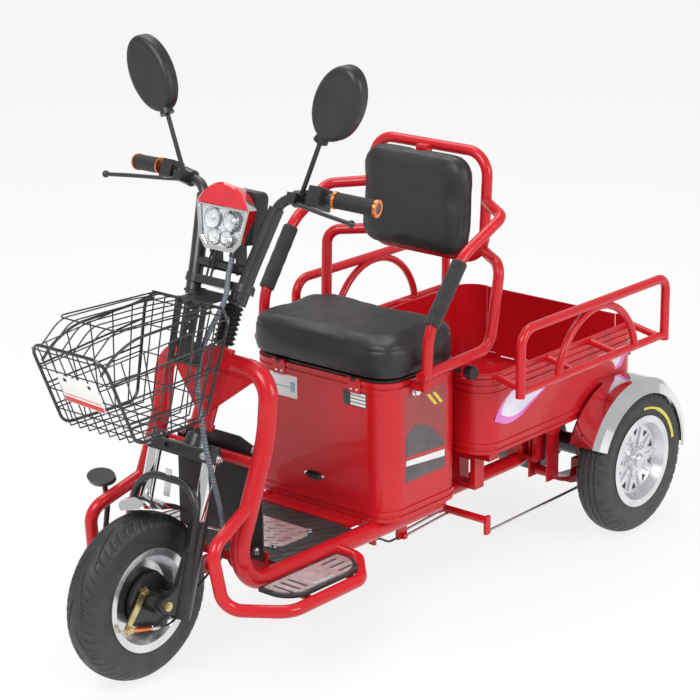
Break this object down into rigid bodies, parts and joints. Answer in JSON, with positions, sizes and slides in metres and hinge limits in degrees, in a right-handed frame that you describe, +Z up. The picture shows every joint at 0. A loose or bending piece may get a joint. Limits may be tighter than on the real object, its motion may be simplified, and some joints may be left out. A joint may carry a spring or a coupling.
{
  "type": "electric tricycle",
  "caption": "Small three-wheeled electric tricycle with a wire basket in front, a padded seat over a sheet box, arm rests and an open cargo bed between its rear wheels.",
  "frame": {"origin": "on the floor, in the middle of the whole outline", "axes": "+X forward, +Y to the rider's left, +Z up"},
  "size_m": [1.724, 0.717, 1.2737],
  "materials": {
    "red_paint": "gloss red paint",
    "black_paint": "satin black paint",
    "black_wire": "black coated wire",
    "chrome": "bright chrome plate",
    "zinc_plate": "yellow zinc plate",
    "tread_steel": "pressed bright tread plate",
    "cast_rim": "silver cast rim",
    "copper_collar": "orange anodised collar",
    "tyre": "black tyre rubber",
    "floor_rubber": "black ribbed rubber mat",
    "grip_rubber": "matt black rubber",
    "foam_sleeve": "dark grey foam sleeve",
    "seat_vinyl": "black vinyl",
    "black_plastic": "black moulded plastic",
    "battery_case": "black battery case",
    "horn_red": "red horn disc",
    "red_lens": "red lamp plastic",
    "clear_lens": "clear faceted lens",
    "cable_black": "black cable sheath",
    "harness_wrap": "blue-grey spiral wrap",
    "mirror_glass": "mirror glass"
  },
  "bodies": {
    "chassis": {"head_tube": "red_paint", "hoop_left": "red_paint", "hoop_right": "red_paint", "underframe": "red_paint", "floor_pan": "red_paint", "splash_panel": "black_plastic", "floor_mats": "floor_rubber", "tread_plates": "tread_steel", "horn": "horn_red", "brake_pedal": "black_paint", "seat_box": "red_paint", "battery": "battery_case", "arm_frame": "red_paint", "backrest_pad": "seat_vinyl", "arm_sleeves": "foam_sleeve", "arm_knobs": "black_plastic", "cargo_bed": "red_paint", "side_rails": "red_paint", "rear_fenders": "chrome", "rear_axle": "black_paint", "leaf_springs": "red_paint", "brake_linkage": "red_paint", "tail_lamps": "red_lens", "seat_hinges": "chrome", "rear_brake_cable": "cable_black"},
    "steering": {"fork_legs": "black_paint", "handlebar": "black_paint", "grips": "grip_rubber", "grip_collars": "copper_collar", "bar_controls": "black_paint", "fork_crown": "black_paint", "fork_stanchions": "chrome", "stem_bellows": "grip_rubber", "front_brake": "black_paint", "fork_fittings": "zinc_plate", "front_fender": "chrome", "headlamp_shell": "chrome", "headlamp_lens": "clear_lens", "headlamp_visor": "red_lens", "instrument_housing": "black_plastic", "mirrors": "black_plastic", "mirror_glass": "mirror_glass", "basket": "black_wire", "basket_bracket": "black_paint", "lamp_cables": "cable_black", "cable_harness": "harness_wrap", "front_brake_cable": "cable_black", "harness_clip": "zinc_plate"},
    "front_wheel": {"front_tyre": "tyre", "front_rim": "chrome", "front_hub": "black_paint"},
    "rear_wheel_left": {"rear_tyre_left": "tyre", "rear_rim_left": "cast_rim"},
    "rear_wheel_right": {"rear_tyre_right": "tyre", "rear_rim_right": "cast_rim"},
    "seat_lid": {"seat_pan": "black_plastic", "seat_cushion": "seat_vinyl"},
    "tailgate": {"tailgate": "red_paint"}
  },
  "joints": [
    {"name": "steering_turn", "type": "hinge", "parent": "chassis", "child": "steering", "pos_m": [0.46523, 0, 0.52223], "axis": [-0.4067, 0, 0.9135], "range_deg": [-40, 40]},
    {"name": "front_wheel_spin", "type": "hinge", "parent": "steering", "child": "front_wheel", "pos_m": [0.68, 0, 0.18], "axis": [0, 1, 0], "continuous": true},
    {"name": "rear_wheel_left_spin", "type": "hinge", "parent": "chassis", "child": "rear_wheel_left", "pos_m": [-0.662, 0.314, 0.18], "axis": [0, 1, 0], "continuous": true},
    {"name": "rear_wheel_right_spin", "type": "hinge", "parent": "chassis", "child": "rear_wheel_right", "pos_m": [-0.662, -0.314, 0.18], "axis": [0, 1, 0], "continuous": true},
    {"name": "seat_lid_hinge", "type": "hinge", "parent": "chassis", "child": "seat_lid", "pos_m": [0.112, 0, 0.532], "axis": [0, 1, 0], "range_deg": [0, 80]},
    {"name": "tailgate_hinge", "type": "hinge", "parent": "chassis", "child": "tailgate", "pos_m": [-0.768, 0, 0.322], "axis": [0, -1, 0], "range_deg": [0, 90]}
  ]
}
